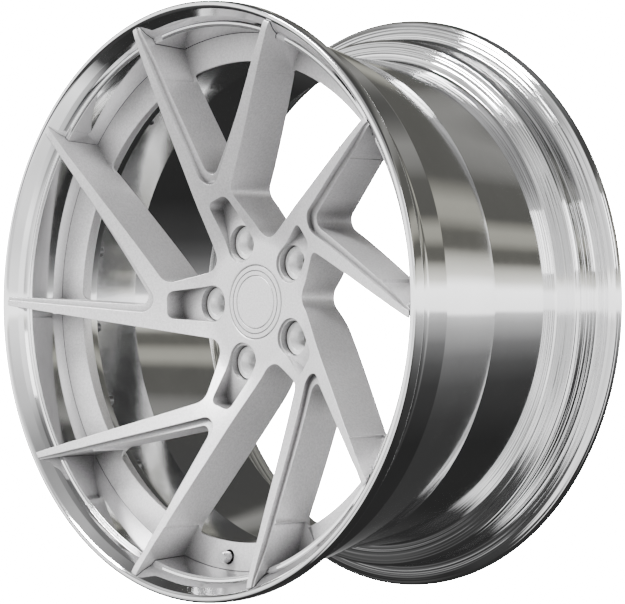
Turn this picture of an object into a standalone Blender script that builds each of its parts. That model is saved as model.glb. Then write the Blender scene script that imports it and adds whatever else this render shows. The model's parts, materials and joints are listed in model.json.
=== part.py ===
"""Two-piece forged road and track wheel, nineteen inches across.

The wheel's axis runs along Y with the street face towards -Y.  Z is up and X is to
the right as the street face is seen.  The origin is on the axis at half the width.
All lengths are in metres.  Most radii and depths are given as shares of the flange
radius, because the profiles keep those proportions; a depth is measured back from
the front plane of the street-side flange.
"""
import math

import bmesh
import bpy
from mathutils import Matrix, Vector

for old in list(bpy.data.objects):
    bpy.data.objects.remove(old, do_unlink=True)

# ---- overall size ---------------------------------------------------------------
FLANGE_R = 0.261          # outer radius of both flanges, 19 inch rim
HALF_WIDTH = 0.1329       # half of the overall width, 9.5 inch rim
GAP = 0.0003              # clearance between neighbouring pieces
STEPS = 60                # facets round the large turned pieces

# ---- hub ------------------------------------------------------------------------
HUB_FACE = 0.2808         # depth of the hub's front face, share of FLANGE_R
HUB_REAR = 0.4326         # depth of the mounting face
LUG_CIRCLE = 0.112 / 2    # pitch circle radius of the five wheel bolts
LUG_ANGLE = 37.7          # first bolt, degrees anticlockwise from +X
CAP_BORE = 0.0327
RIB_BORE = 0.0302
HUB_BORE = 0.0333         # 66.6 mm centre bore

# ---- ring of the centre ---------------------------------------------------------
RING_BORE = 0.811
RING_FACE_IN = 0.213
RING_FACE_OUT = 0.200
RING_REAR = 0.275

# ---- assembly bolts -------------------------------------------------------------
BOLT_COUNT = 20
BOLT_CIRCLE = 0.2255
BOLT_FIRST = 6.0
BOLT_SHANK = 0.0035
FLANGE_REAR = 0.305       # rear face of the barrel's mounting flange

# ---- valve ----------------------------------------------------------------------
VALVE_ANGLE = 267.0
VALVE_R = 0.225           # radius of the stem's axial leg
VALVE_DEPTH = 0.0625      # depth of the stem's radial leg

# ---- plan of the spokes: a point and a heading in degrees, shares of FLANGE_R ----
# One pair of arms; the other four pairs are turned by 72 degrees each.
LONG_ARM_OUTER = ((-0.590, 0.373), -55.3)     # long arm, side of the plain window
LONG_ARM_INNER = ((-0.610, 0.335), -58.4)     # long arm, front edge in the V window
LONG_ARM_LEDGE = ((-0.536, 0.175), -60.0)     # long arm, wall of the V window
SHORT_ARM_INNER = ((-0.648, -0.021), -4.8)    # straight arm, front edge in the V
SHORT_ARM_LEDGE = ((-0.659, 0.000), -3.3)     # straight arm, wall of the V window
SHORT_ARM_OUTER = ((-0.594, -0.068), -8.4)    # straight arm, side of the plain window
HUB_EDGE = ((-0.303, 0.080), 14.2)            # hub side of the plain window

collection = bpy.data.collections.new("forged_wheel_rim")
bpy.context.scene.collection.children.link(collection)
cutters = bpy.data.collections.new("cutters")
bpy.context.scene.collection.children.link(cutters)


# ---- materials ------------------------------------------------------------------
def material(name, colour, metallic, roughness):
    mat = bpy.data.materials.new(name)
    mat.use_nodes = True
    shader = mat.node_tree.nodes["Principled BSDF"]
    shader.inputs["Base Color"].default_value = (*colour, 1.0)
    shader.inputs["Metallic"].default_value = metallic
    shader.inputs["Roughness"].default_value = roughness
    mat.diffuse_color = (*colour, 1.0)
    return mat


POLISHED = material("polished_barrel", (0.86, 0.86, 0.87), 1.0, 0.08)
MATTE_SILVER = material("matte_silver_centre", (0.72, 0.71, 0.72), 0.8, 0.45)
SEAT_STEEL = material("seat_steel", (0.66, 0.66, 0.67), 1.0, 0.35)
BOLT_STEEL = material("bolt_steel", (0.30, 0.30, 0.31), 1.0, 0.35)
CAP_SILVER = material("cap_silver", (0.74, 0.73, 0.74), 0.8, 0.42)
BADGE_SILVER = material("badge_silver", (0.76, 0.76, 0.77), 0.8, 0.38)
SPRING_STEEL = material("spring_steel", (0.42, 0.42, 0.43), 1.0, 0.30)
VALVE_METAL = material("valve_metal", (0.55, 0.55, 0.56), 1.0, 0.30)
VALVE_BRASS = material("valve_brass", (0.70, 0.55, 0.28), 1.0, 0.35)
RUBBER = material("seal_rubber", (0.03, 0.03, 0.03), 0.0, 0.80)


# ---- small helpers --------------------------------------------------------------
def depth_to_y(depth):
    return depth - HALF_WIDTH


def polar(radius, degrees):
    angle = math.radians(degrees)
    return radius * math.cos(angle), radius * math.sin(angle)


def turned(point, degrees):
    c = math.cos(math.radians(degrees))
    s = math.sin(math.radians(degrees))
    return point[0] * c - point[1] * s, point[0] * s + point[1] * c


def share(points):
    """Radius and depth as shares of the flange radius to metres."""
    return [(r * FLANGE_R, d * FLANGE_R) for r, d in points]


def new_object(name, mesh, mat, home):
    ob = bpy.data.objects.new(name, mesh)
    home.objects.link(ob)
    mesh.materials.append(mat)
    if home is cutters:
        ob.hide_render = True
        ob.display_type = "WIRE"
    return ob


def frozen(ob):
    """Give the object the mesh that its modifiers make, and drop the modifiers."""
    bpy.context.view_layer.update()
    graph = bpy.context.evaluated_depsgraph_get()
    mesh = bpy.data.meshes.new_from_object(ob.evaluated_get(graph))
    ob.modifiers.clear()
    ob.data = mesh
    return ob


def smooth(ob, degrees=30):
    ob.data.shade_smooth()
    ob.data.set_sharp_from_angle(angle=math.radians(degrees))


def area(points):
    total = 0.0
    for (x0, y0), (x1, y1) in zip(points, points[1:] + points[:1]):
        total += x0 * y1 - x1 * y0
    return total / 2


def revolve(name, profile, mat, home=None, steps=STEPS, closed=True, at=(0.0, 0.0)):
    """Turn a profile of (radius, depth) points about an axis along Y through (x, z)."""
    points = [(r, depth_to_y(d)) for r, d in profile]
    if area(points) > 0:
        points.reverse()
    mesh = bpy.data.meshes.new(name)
    edges = [(i, i + 1) for i in range(len(points) - 1)]
    if closed:
        edges.append((len(points) - 1, 0))
    mesh.from_pydata([(r, y, 0.0) for r, y in points], edges, [])
    ob = new_object(name, mesh, mat, home or collection)
    ob.location = (at[0], 0.0, at[1])
    screw = ob.modifiers.new("turn", "SCREW")
    screw.axis = "Y"
    screw.angle = math.radians(360)
    screw.steps = steps
    screw.render_steps = steps
    screw.use_merge_vertices = True
    screw.merge_threshold = 0.00001
    return ob


def plate(name, outline, depth_from, depth_to, home=None, mat=None):
    """Prism with a flat (x, z) outline, between two depths."""
    points = list(outline)
    if area(points) < 0:
        points.reverse()
    shape = bmesh.new()
    y = depth_to_y(depth_from)
    shape.faces.new([shape.verts.new((x, y, z)) for x, z in points])
    mesh = bpy.data.meshes.new(name)
    shape.to_mesh(mesh)
    shape.free()
    ob = new_object(name, mesh, mat or MATTE_SILVER, home or cutters)
    solid = ob.modifiers.new("thickness", "SOLIDIFY")
    solid.thickness = depth_to - depth_from
    solid.offset = -1.0
    return ob


def cylinder(name, radius, start, end, sides, home=None, mat=None):
    """Cylinder between two points in space."""
    start = Vector(start)
    end = Vector(end)
    shape = bmesh.new()
    bmesh.ops.create_cone(shape, cap_ends=True, segments=sides, radius1=radius,
                          radius2=radius, depth=(end - start).length)
    turn = (end - start).normalized().to_track_quat("Z", "Y").to_matrix().to_4x4()
    bmesh.ops.transform(shape, matrix=Matrix.Translation((start + end) / 2) @ turn,
                        verts=shape.verts)
    mesh = bpy.data.meshes.new(name)
    shape.to_mesh(mesh)
    shape.free()
    return new_object(name, mesh, mat or MATTE_SILVER, home or cutters)


def joined(name, parts):
    """One cutter from several that don't touch one another."""
    shape = bmesh.new()
    for part in parts:
        frozen(part)
        shape.from_mesh(part.data)
        bpy.data.objects.remove(part, do_unlink=True)
    mesh = bpy.data.meshes.new(name)
    shape.to_mesh(mesh)
    shape.free()
    return new_object(name, mesh, MATTE_SILVER, cutters)


def boolean(ob, other, operation="DIFFERENCE", solver="EXACT"):
    cut = ob.modifiers.new(other.name, "BOOLEAN")
    cut.operation = operation
    cut.solver = solver
    cut.object = other
    return cut


# ---- plan geometry --------------------------------------------------------------
def meet(first, second):
    """Where two (point, heading) lines cross."""
    (px, pz), a = first
    (qx, qz), b = second
    ax, az = polar(1.0, a)
    bx, bz = polar(1.0, b)
    t = ((qx - px) * bz - (qz - pz) * bx) / (ax * bz - az * bx)
    return px + t * ax, pz + t * az


def at_radius(line, radius):
    """Outer crossing of a line with a circle about the axis."""
    (px, pz), heading = line
    ax, az = polar(1.0, heading)
    along = px * ax + pz * az
    root = math.sqrt(along * along - (px * px + pz * pz) + radius * radius)
    return px + (-along - root) * ax, pz + (-along - root) * az


def rounded(points, radii, pieces=4):
    """Polygon with its corners rounded to the given radii."""
    out = []
    count = len(points)
    for i, (corner, radius) in enumerate(zip(points, radii)):
        if radius == 0:
            out.append(corner)
            continue
        here = Vector(corner)
        back = (Vector(points[i - 1]) - here).normalized()
        ahead = (Vector(points[(i + 1) % count]) - here).normalized()
        half = back.angle(ahead) / 2
        start = here + back * radius / math.tan(half)
        end = here + ahead * radius / math.tan(half)
        centre = here + (back + ahead).normalized() * radius / math.sin(half)
        sweep = (start - centre).angle_signed(end - centre)
        for k in range(pieces + 1):
            turn = Matrix.Rotation(-sweep * k / pieces, 2)
            out.append(tuple(centre + turn @ (start - centre)))
    return out


def arc(start, end, radius, step=4.0):
    """Points along a circle about the axis, without its two ends."""
    a = math.degrees(math.atan2(start[1], start[0]))
    b = math.degrees(math.atan2(end[1], end[0]))
    b = a + (b - a + 180) % 360 - 180
    count = max(2, round(abs(b - a) / step))
    return [polar(radius, a + (b - a) * k / count) for k in range(1, count)]


def scaled(points):
    return [(x * FLANGE_R, z * FLANGE_R) for x, z in points]


def window_outline(side_a, side_b, corners, corner_radii, outer, outer_radius):
    """Window from its hub corners out to a circle, with rounded ends."""
    first = at_radius(side_a, outer)
    last = at_radius(side_b, outer)
    bow = arc(first, last, outer)
    points = corners + [first] + bow + [last]
    radii = corner_radii + [outer_radius] + [0] * len(bow) + [outer_radius]
    return rounded(scaled(points), radii)


def around(outline, count=5):
    return [[turned(p, 360 / count * k) for p in outline] for k in range(count)]


def wedge(side_a, side_b, inner, outer=1.06, spread=0.0001):
    """Four-sided outline between two arms, a hair wider than the arms' walls."""
    corners = [at_radius(side_a, inner), at_radius(side_a, outer),
               at_radius(side_b, outer), at_radius(side_b, inner)]
    points = [Vector(p) for p in scaled(corners)]
    across = [(points[0] - points[3]).normalized(), (points[1] - points[2]).normalized()]
    points[0] += across[0] * spread
    points[3] -= across[0] * spread
    points[1] += across[1] * spread
    points[2] -= across[1] * spread
    return [tuple(p) for p in points]


def pocket_outline(angle):
    """Rounded four-sided outline round a lug hole, widest at the hub's middle."""
    corners = [(0.0968, 0.0120), (0.0968, -0.0120), (0.0385, -0.0180), (0.0385, 0.0180)]
    return rounded([turned(corner, angle) for corner in corners],
                   [0.0070, 0.0070, 0.0150, 0.0150])


def pipe(name, path, radius, home, mat):
    """Round bar along a path, closed at both ends."""
    curve = bpy.data.curves.new(name, "CURVE")
    curve.dimensions = "3D"
    curve.bevel_depth = radius
    curve.bevel_resolution = 1
    curve.use_fill_caps = True
    line = curve.splines.new("POLY")
    line.points.add(len(path) - 1)
    for point, place in zip(line.points, path):
        point.co = (*place, 1.0)
    source = bpy.data.objects.new(name + "_path", curve)
    cutters.objects.link(source)
    bpy.context.view_layer.update()
    mesh = bpy.data.meshes.new_from_object(source.evaluated_get(
        bpy.context.evaluated_depsgraph_get()))
    bpy.data.objects.remove(source, do_unlink=True)
    shape = bmesh.new()
    shape.from_mesh(mesh)
    bmesh.ops.remove_doubles(shape, verts=shape.verts, dist=0.00001)
    bmesh.ops.recalc_face_normals(shape, faces=shape.faces)
    shape.to_mesh(mesh)
    shape.free()
    mesh.materials.clear()
    return new_object(name, mesh, mat, home)


# ---- barrel ---------------------------------------------------------------------
# Section of the barrel, radius and depth, from the street-side lip round the tyre
# side to the rear flange and back along the inside.
BARREL_SECTION = share([
    (0.9840, 0.0000), (0.9940, 0.0000), (0.9990, 0.0050), (1.0000, 0.0110),
    (1.0000, 0.0420), (0.9965, 0.0465), (0.9720, 0.0490), (0.9560, 0.0560),
    (0.9420, 0.0690), (0.9310, 0.0850), (0.9215, 0.1170), (0.9255, 0.1290),
    (0.9255, 0.1390), (0.9225, 0.1500), (0.9230, 0.2335), (0.8550, 0.5390),
    (0.8470, 0.8460), (0.8520, 0.8530), (0.9170, 0.8670), (0.9265, 0.8820),
    (0.9195, 0.8980), (0.9250, 0.9600), (0.9330, 0.9690), (0.9520, 0.9725),
    (0.9760, 0.9785), (0.9930, 0.9880), (1.0000, 1.0000), (1.0000, 1.0120),
    (0.9960, 1.0175), (0.9880, 1.0184),
    (0.9180, 1.0184), (0.9050, 1.0080), (0.8930, 0.9150), (0.8200, 0.8320),
    (0.8400, 0.4900), (0.8905, 0.3120), (0.8890, FLANGE_REAR), (0.8395, FLANGE_REAR),
    (0.8395, RING_REAR + 0.0012), (0.8925, RING_REAR + 0.0012), (0.9038, 0.2280),
    (0.9168, 0.0670), (0.9243, 0.0655), (0.9243, 0.0625), (0.9333, 0.0620),
    (0.9400, 0.0485), (0.9500, 0.0325), (0.9666, 0.0140), (0.9735, 0.0060),
    (0.9796, 0.0015),
])
barrel = revolve("rim_barrel", BARREL_SECTION, POLISHED)

# ---- centre: blank turned to the dish shape ---------------------------------------
CAP_SEAT = HUB_FACE + 0.022 / FLANGE_R
FRONT_FACE = [
    (0.215, HUB_FACE), (0.255, 0.2710), (0.400, 0.2030), (0.550, 0.1460),
    (0.700, 0.0895), (0.850, 0.0360), (0.950, 0.0040), (0.9700, 0.0012),
]
CENTRE_SECTION = share(
    [(CAP_BORE / FLANGE_R, HUB_FACE + 0.003), (0.1285, HUB_FACE)] + FRONT_FACE + [
        (0.9730, 0.0042), (0.9657, 0.0130), (0.9490, 0.0316), (0.9389, 0.0478),
        (0.9321, 0.0605), (0.9230, 0.0610),
        (0.9230, 0.0640), (0.9156, 0.0652), (0.9027, 0.2270), (0.8912, RING_REAR),
        (0.8380, RING_REAR), (0.8080, 0.2160),
        (0.7940, 0.2330), (0.4350, 0.3780), (0.2950, HUB_REAR),
    ]) + [
    (HUB_BORE, HUB_REAR * FLANGE_R),
    (HUB_BORE, CAP_SEAT * FLANGE_R + 0.0035),
    (RIB_BORE, CAP_SEAT * FLANGE_R + 0.0035),
    (RIB_BORE, CAP_SEAT * FLANGE_R),
    (CAP_BORE, CAP_SEAT * FLANGE_R),
]
centre = revolve("centre_disc", CENTRE_SECTION, MATTE_SILVER)

# Spoke plan of one pair, named as the real windows: the V window lies inside the
# pair, the plain window between one pair and the next.
short_arm_next = (turned(SHORT_ARM_OUTER[0], -72), SHORT_ARM_OUTER[1] - 72)
plain_corners = [meet(LONG_ARM_OUTER, HUB_EDGE), meet(HUB_EDGE, short_arm_next)]
v_corner = meet(LONG_ARM_LEDGE, SHORT_ARM_LEDGE)
ledge_corner = meet(LONG_ARM_INNER, SHORT_ARM_INNER)

plain_window = window_outline(
    LONG_ARM_OUTER, short_arm_next, plain_corners[::-1], [0.014, 0.012], RING_BORE, 0.008)
v_window = window_outline(
    LONG_ARM_LEDGE, SHORT_ARM_LEDGE, [v_corner], [0.008], RING_BORE, 0.008)

# The window walls run straight on above the ring, where each pocket's floor is the
# ring's front face.
ring_fall = (RING_FACE_IN - RING_FACE_OUT) / (0.9055 - RING_BORE)
above_ring = revolve("above_ring", share([
    (0.780, -0.030), (1.080, -0.030),
    (1.080, RING_FACE_IN - (1.080 - RING_BORE) * ring_fall),
    (0.780, RING_FACE_IN + (RING_BORE - 0.780) * ring_fall)]),
    MATTE_SILVER, cutters)
wedges = []
for k in range(5):
    for side_a, side_b in ((LONG_ARM_OUTER, short_arm_next),
                           (LONG_ARM_LEDGE, SHORT_ARM_LEDGE)):
        turned_a = (turned(side_a[0], 72 * k), side_a[1] + 72 * k)
        turned_b = (turned(side_b[0], 72 * k), side_b[1] + 72 * k)
        wedges.append(plate("wedge", wedge(turned_a, turned_b, 0.790),
                            -0.040 * FLANGE_R, 0.250 * FLANGE_R))
wedge_block = joined("wedge_block", wedges)
boolean(above_ring, wedge_block, "INTERSECT")

# Shallow step that runs round the inside of each V, a few millimetres below the
# arms' front faces.
LEDGE_DROP = 0.020
ledge_floor = [(r, d + LEDGE_DROP * min(1.0, (1.02 - r) / 0.17)) for r, d in FRONT_FACE]
ledge_space = revolve("ledge_space", share(
    [(0.200, -0.030)] + [(0.200, HUB_FACE + LEDGE_DROP)] + ledge_floor
    + [(1.080, 0.006), (1.080, -0.030)]), MATTE_SILVER, cutters)
ledge_plan = rounded(scaled([
    ledge_corner, at_radius(LONG_ARM_INNER, 1.060), at_radius(SHORT_ARM_INNER, 1.060)]),
    [0.012, 0, 0])
ledge_block = joined("ledge_block", [
    plate("ledge", outline, -0.040 * FLANGE_R, 0.400 * FLANGE_R)
    for outline in around(ledge_plan)])
boolean(ledge_space, ledge_block, "INTERSECT")

window_block = joined("window_block", [
    plate("window", outline, -0.040 * FLANGE_R, 0.500 * FLANGE_R)
    for outline in around(plain_window) + around(v_window)])

# Lug pockets: flat floors just under the hub face that run out into the rising arms.
POCKET_FLOOR = 0.289
SEAT_TOP = 0.313 * FLANGE_R
lug_places = [polar(LUG_CIRCLE, LUG_ANGLE + 72 * k) for k in range(5)]
pocket_plan = pocket_outline(LUG_ANGLE + 144)
pocket_block = joined("pocket_block", [
    plate("pocket", outline, 0.100 * FLANGE_R, POCKET_FLOOR * FLANGE_R)
    for outline in around(pocket_plan)])


def drilled(name, places, radius, depth_from, depth_to, sides):
    """Round holes along the wheel's axis, as one cutter."""
    return joined(name, [
        cylinder("hole", radius, (x, depth_to_y(depth_from), z),
                 (x, depth_to_y(depth_to), z), sides) for x, z in places])


lug_recess = drilled("lug_recess", lug_places, 0.0155, 0.070, SEAT_TOP + 0.0033, 20)
lug_sleeve = drilled("lug_sleeve", lug_places, 0.0115, 0.070, SEAT_TOP + 0.0153, 20)
lug_bore = drilled("lug_bore", lug_places, 0.0080, 0.070, 0.120, 20)

bolt_places = [polar(BOLT_CIRCLE, BOLT_FIRST + 360 / BOLT_COUNT * k)
               for k in range(BOLT_COUNT)]
bolt_sockets = drilled("bolt_sockets", bolt_places, 0.0042, 0.0588, 0.0780, 8)
bolt_ways = drilled("bolt_ways", bolt_places, 0.0043, 0.0700, 0.0850, 8)


def valve_point(radius, depth):
    x, z = polar(radius, VALVE_ANGLE)
    return x, depth_to_y(depth), z


valve_pocket = cylinder("valve_pocket", 0.0074, valve_point(0.2250, VALVE_DEPTH),
                        valve_point(0.2450, VALVE_DEPTH), 20)
valve_way = cylinder("valve_way", 0.0065, valve_point(VALVE_R, 0.0300),
                     valve_point(VALVE_R, 0.0673), 20)
valve_hole = cylinder("valve_hole", 0.0043, valve_point(0.2200, VALVE_DEPTH),
                      valve_point(0.2500, VALVE_DEPTH), 16)
valve_flat = cylinder("valve_flat", 0.0080, valve_point(0.2390, VALVE_DEPTH),
                      valve_point(0.2500, VALVE_DEPTH), 24)
nut_flat = cylinder("nut_flat", 0.0076, valve_point(0.2290, VALVE_DEPTH),
                    valve_point(0.2356, VALVE_DEPTH), 20)

# The exact solver leaves open edges where the arms' thin steps cross the turned
# facets; every body here is closed, so these cuts use the manifold solver.
boolean(centre, ledge_space)
for cutter in (window_block, above_ring, pocket_block, lug_recess, lug_sleeve,
               lug_bore, bolt_sockets, valve_pocket, valve_way):
    boolean(centre, cutter, solver="MANIFOLD")
smooth(frozen(centre))

for cutter in (bolt_ways, valve_flat, nut_flat, valve_hole):
    boolean(barrel, cutter)
smooth(frozen(barrel))

# ---- assembly bolts ---------------------------------------------------------------
BOLT_SEAT = FLANGE_REAR * FLANGE_R + GAP
BOLT_SECTION = [
    (0.0, 0.0597), (BOLT_SHANK, 0.0597), (BOLT_SHANK, BOLT_SEAT), (0.0055, BOLT_SEAT),
    (0.0055, BOLT_SEAT + 0.0012), (0.0044, BOLT_SEAT + 0.0012),
    (0.0044, BOLT_SEAT + 0.0062), (0.0, BOLT_SEAT + 0.0062),
]
for number, place in enumerate(bolt_places, 1):
    bolt = revolve(f"assembly_bolt_{number:02d}", BOLT_SECTION, BOLT_STEEL, steps=8,
                   closed=False, at=place)
    smooth(frozen(bolt))

# ---- lug seat inserts -------------------------------------------------------------
SEAT_SECTION = [
    (0.0107, SEAT_TOP), (0.0145, SEAT_TOP), (0.0151, SEAT_TOP + 0.0008),
    (0.0151, SEAT_TOP + 0.0030),
    (0.0110, SEAT_TOP + 0.0030), (0.0110, SEAT_TOP + 0.0150),
    (0.0078, SEAT_TOP + 0.0150), (0.0078, SEAT_TOP + 0.0056),
]
for number, place in enumerate(lug_places, 1):
    seat = revolve(f"lug_seat_{number}", SEAT_SECTION, SEAT_STEEL, steps=20, at=place)
    smooth(frozen(seat))

# ---- centre cap -------------------------------------------------------------------
CAP_FACE = HUB_FACE * FLANGE_R
cap_section = [
    (0.0, 0.0015), (0.0236, 0.0015), (0.0236, 0.0005), (0.0241, 0.0), (0.0274, 0.0),
    (0.0277, 0.0009), (0.0281, 0.0009), (0.0284, 0.0), (0.0318, 0.0),
    (0.0324, 0.0007), (0.0324, 0.0120), (0.0295, 0.0135), (0.0295, 0.0258),
    (0.0284, 0.0260), (0.0284, 0.0281), (0.0295, 0.0283), (0.0291, 0.0300),
    (0.0272, 0.0300), (0.0272, 0.0045), (0.0, 0.0045),
]
cap = revolve("centre_cap", [(r, CAP_FACE + d) for r, d in cap_section], CAP_SILVER,
              steps=36, closed=False)
smooth(frozen(cap))
badge_section = [(0.0, 0.0001), (0.0227, 0.0001), (0.0233, 0.0006), (0.0233, 0.0012),
                 (0.0, 0.0012)]
badge = revolve("cap_badge_blank", [(r, CAP_FACE + d) for r, d in badge_section],
                BADGE_SILVER, steps=36, closed=False)
smooth(frozen(badge))
ring_section = [(0.0288, 0.0264), (0.0297, 0.0264), (0.0299, 0.0271),
                (0.0297, 0.0278), (0.0288, 0.0278)]
spring_ring = revolve("cap_spring_ring", [(r, CAP_FACE + d) for r, d in ring_section],
                      SPRING_STEEL, steps=36)
smooth(frozen(spring_ring))

# ---- valve ------------------------------------------------------------------------
BEND = 0.0045
STEM_TIP = 0.0473
path = [valve_point(0.2433, VALVE_DEPTH), valve_point(VALVE_R + BEND, VALVE_DEPTH)]
for k in range(1, 7):
    angle = math.radians(90 * k / 6)
    path.append(valve_point(VALVE_R + BEND * (1 - math.sin(angle)),
                            VALVE_DEPTH - BEND * (1 - math.cos(angle))))
path.append(valve_point(VALVE_R, STEM_TIP))
stem = pipe("valve_stem", path, 0.0039, collection, VALVE_METAL)
stem_foot = cylinder("stem_foot", 0.0068, valve_point(0.2413, VALVE_DEPTH),
                     valve_point(0.2433, VALVE_DEPTH), 24)
before = Vector(path[0]) + (Vector(path[0]) - Vector(path[1])).normalized() * 0.002
after = Vector(path[-1]) + (Vector(path[-1]) - Vector(path[-2])).normalized() * 0.002
air_way = pipe("air_way", [tuple(before)] + path[1:-1] + [tuple(after)], 0.0019,
               cutters, VALVE_METAL)
boolean(stem, stem_foot, "UNION")
boolean(stem, air_way)
smooth(frozen(stem))

nut = cylinder("valve_nut", 0.0066, valve_point(0.2325, VALVE_DEPTH),
               valve_point(0.2353, VALVE_DEPTH), 6, collection, VALVE_METAL)
nut_hole = cylinder("nut_hole", 0.0043, valve_point(0.2250, VALVE_DEPTH),
                    valve_point(0.2400, VALVE_DEPTH), 16)
boolean(nut, nut_hole)
smooth(frozen(nut))

seal = cylinder("valve_seal", 0.0072, valve_point(0.2393, VALVE_DEPTH),
                valve_point(0.2410, VALVE_DEPTH), 24, collection, RUBBER)
seal_hole = cylinder("seal_hole", 0.0043, valve_point(0.2350, VALVE_DEPTH),
                     valve_point(0.2450, VALVE_DEPTH), 16)
boolean(seal, seal_hole)
smooth(frozen(seal))

valve_place = polar(VALVE_R, VALVE_ANGLE)
core = revolve("valve_core", [
    (0.00075, 0.0477), (0.0015, 0.0477), (0.0015, 0.0560), (0.00075, 0.0560)],
    VALVE_BRASS, steps=12, at=valve_place)
smooth(frozen(core))
pin = revolve("valve_core_pin", [
    (0.0, 0.0467), (0.00045, 0.0467), (0.00045, 0.0563), (0.0011, 0.0563),
    (0.0011, 0.0572), (0.0, 0.0572)],
    VALVE_BRASS, steps=12, closed=False, at=valve_place)
smooth(frozen(pin))
valve_cap = revolve("valve_cap", [
    (0.0, 0.0445), (0.0044, 0.0445), (0.0051, 0.0452), (0.0051, 0.0530),
    (0.00425, 0.0530), (0.00425, 0.0462), (0.0, 0.0462)],
    VALVE_METAL, steps=20, closed=False, at=valve_place)
smooth(frozen(valve_cap))
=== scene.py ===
"""Looks of the two-piece forged wheel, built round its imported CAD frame.

Same axes and origin as the CAD part: the wheel's axis along Y, street face towards
-Y, Z up, origin on the axis at half the width.  Lengths are in metres.
"""
import json
import math

import bmesh
import bpy
from mathutils import Matrix, Vector

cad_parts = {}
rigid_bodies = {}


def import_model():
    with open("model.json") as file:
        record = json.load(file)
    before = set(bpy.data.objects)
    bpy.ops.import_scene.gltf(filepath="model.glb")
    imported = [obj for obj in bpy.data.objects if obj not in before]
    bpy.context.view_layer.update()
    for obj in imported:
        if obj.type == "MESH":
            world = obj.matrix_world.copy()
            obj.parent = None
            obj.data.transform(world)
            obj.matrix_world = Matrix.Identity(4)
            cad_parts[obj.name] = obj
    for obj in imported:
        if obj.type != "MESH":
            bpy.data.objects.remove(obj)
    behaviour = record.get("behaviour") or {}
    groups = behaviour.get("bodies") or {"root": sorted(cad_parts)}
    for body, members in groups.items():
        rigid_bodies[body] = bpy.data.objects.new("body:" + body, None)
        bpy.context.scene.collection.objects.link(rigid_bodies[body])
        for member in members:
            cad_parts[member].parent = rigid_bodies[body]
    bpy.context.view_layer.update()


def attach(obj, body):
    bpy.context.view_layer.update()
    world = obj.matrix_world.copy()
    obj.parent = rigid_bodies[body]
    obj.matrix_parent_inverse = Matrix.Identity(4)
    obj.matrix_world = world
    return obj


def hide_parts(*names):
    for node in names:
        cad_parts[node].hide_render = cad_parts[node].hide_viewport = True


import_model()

# ---- overall size ---------------------------------------------------------------
FLANGE_R = 0.261          # outer radius of both flanges, 19 inch rim
HALF_WIDTH = 0.1329       # half of the overall width, 9.5 inch rim
GAP = 0.0003              # clearance between neighbouring pieces
STEPS = 288               # facets round the large turned pieces

# ---- hub ------------------------------------------------------------------------
HUB_FACE = 0.2808         # depth of the hub's front face, share of FLANGE_R
HUB_REAR = 0.4326         # depth of the mounting face
LUG_CIRCLE = 0.112 / 2    # pitch circle radius of the five wheel bolts
LUG_ANGLE = 37.7          # first bolt, degrees anticlockwise from +X
CAP_BORE = 0.0327
RIB_BORE = 0.0302
HUB_BORE = 0.0333         # 66.6 mm centre bore

# ---- ring of the centre ---------------------------------------------------------
RING_BORE = 0.811
RING_FACE_IN = 0.213
RING_FACE_OUT = 0.200
RING_REAR = 0.275

# ---- assembly bolts -------------------------------------------------------------
BOLT_COUNT = 20
BOLT_CIRCLE = 0.2255
BOLT_FIRST = 6.0
BOLT_SHANK = 0.0035
FLANGE_REAR = 0.305       # rear face of the barrel's mounting flange

# ---- valve ----------------------------------------------------------------------
VALVE_ANGLE = 267.0
VALVE_R = 0.225           # radius of the stem's axial leg
VALVE_DEPTH = 0.0625      # depth of the stem's radial leg
VALVE_HOLE_R = 0.0043
ROUND_SIDES = 40          # facets round the valve's bores

# ---- plan of the spokes: a point and a heading in degrees, shares of FLANGE_R ----
# One pair of arms; the other four pairs are turned by 72 degrees each.
LONG_ARM_OUTER = ((-0.590, 0.373), -55.3)     # long arm, side of the plain window
LONG_ARM_INNER = ((-0.610, 0.335), -58.4)     # long arm, front edge in the V window
LONG_ARM_LEDGE = ((-0.536, 0.175), -60.0)     # long arm, wall of the V window
SHORT_ARM_INNER = ((-0.648, -0.021), -4.8)    # straight arm, front edge in the V
SHORT_ARM_LEDGE = ((-0.659, 0.000), -3.3)     # straight arm, wall of the V window
SHORT_ARM_OUTER = ((-0.594, -0.068), -8.4)    # straight arm, side of the plain window
HUB_EDGE = ((-0.303, 0.080), 14.2)            # hub side of the plain window

collection = bpy.data.collections.new("wheel_looks")
bpy.context.scene.collection.children.link(collection)
cutters = bpy.data.collections.new("cutters")
bpy.context.scene.collection.children.link(cutters)


# ---- finishes -------------------------------------------------------------------
FLAKE_SCALE = 520.0       # grain of the silver coat, about 2 mm across
FLAKE_DARK = 0.86
FLAKE_LIGHT = 1.10
PAINTED_SHADE_REACH = 0.030     # how far painted shade from a recess reaches over the silver coat
POLISH_DARK = 0.94
LATHE_START = 0.0860      # the coarser lathe marks fade in towards the rear bead seat
LATHE_FULL = 0.0910
STAINED = 0.75            # darkest share of the plated steel's tone
SMALL_EDGE = 0.0003       # rounded edge of the small turned pieces


def mix_colours(tree, kind, factor, first, second):
    """Colour from a Mix node; the factor and the colours are values or sockets."""
    made = tree.nodes.new("ShaderNodeMix")
    made.data_type = "RGBA"
    made.blend_type = kind
    first_in, second_in = [socket for socket in made.inputs if socket.type == "RGBA"]
    for value, socket in ((factor, made.inputs["Factor"]), (first, first_in),
                          (second, second_in)):
        if isinstance(value, float):
            socket.default_value = value
        elif isinstance(value, tuple):
            socket.default_value = (*value, 1.0)
        else:
            tree.links.new(value, socket)
    return [socket for socket in made.outputs if socket.type == "RGBA"][0]


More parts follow.
